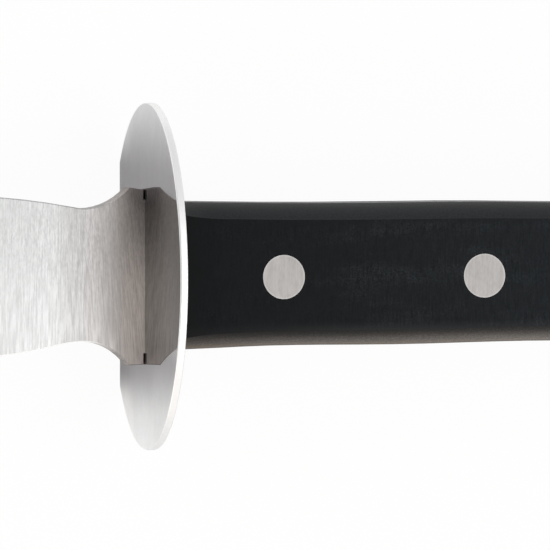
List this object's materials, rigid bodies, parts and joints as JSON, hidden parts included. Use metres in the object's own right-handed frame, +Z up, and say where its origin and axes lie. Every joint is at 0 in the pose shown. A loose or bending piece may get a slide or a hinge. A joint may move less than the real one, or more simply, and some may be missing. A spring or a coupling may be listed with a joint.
{
  "type": "oyster knife",
  "caption": "Oyster knife with a short pointed blade, an oval guard with a flat side and a riveted full-tang handle, for prying open oyster shells.",
  "frame": {"origin": "middle of the knife's length and of the guard's height, on the surface that the knife lies on", "axes": "+X along the knife from tip to butt, +Y across the blade's width, +Z up from the resting face through the blade's thickness"},
  "size_m": [0.1616, 0.05, 0.028],
  "materials": {
    "blade_steel": "stainless steel, ground across the width in fine straight lines",
    "guard_steel": "stainless sheet, mirror polished, with bright rounded edges",
    "handle_plastic": "black acetal, satin, with fine haze along the flat sides",
    "rivet_steel": "steel ground flush with the handle, fine lines across it"
  },
  "bodies": {
    "root": {"blade_and_tang": "blade_steel", "guard": "guard_steel", "scale_front": "handle_plastic", "scale_back": "handle_plastic", "rivet_pin_1": "rivet_steel", "rivet_pin_2": "rivet_steel", "rivet_pin_3": "rivet_steel", "rivet_sleeve_1": "rivet_steel", "rivet_sleeve_2": "rivet_steel", "rivet_sleeve_3": "rivet_steel"}
  },
  "joints": []
}
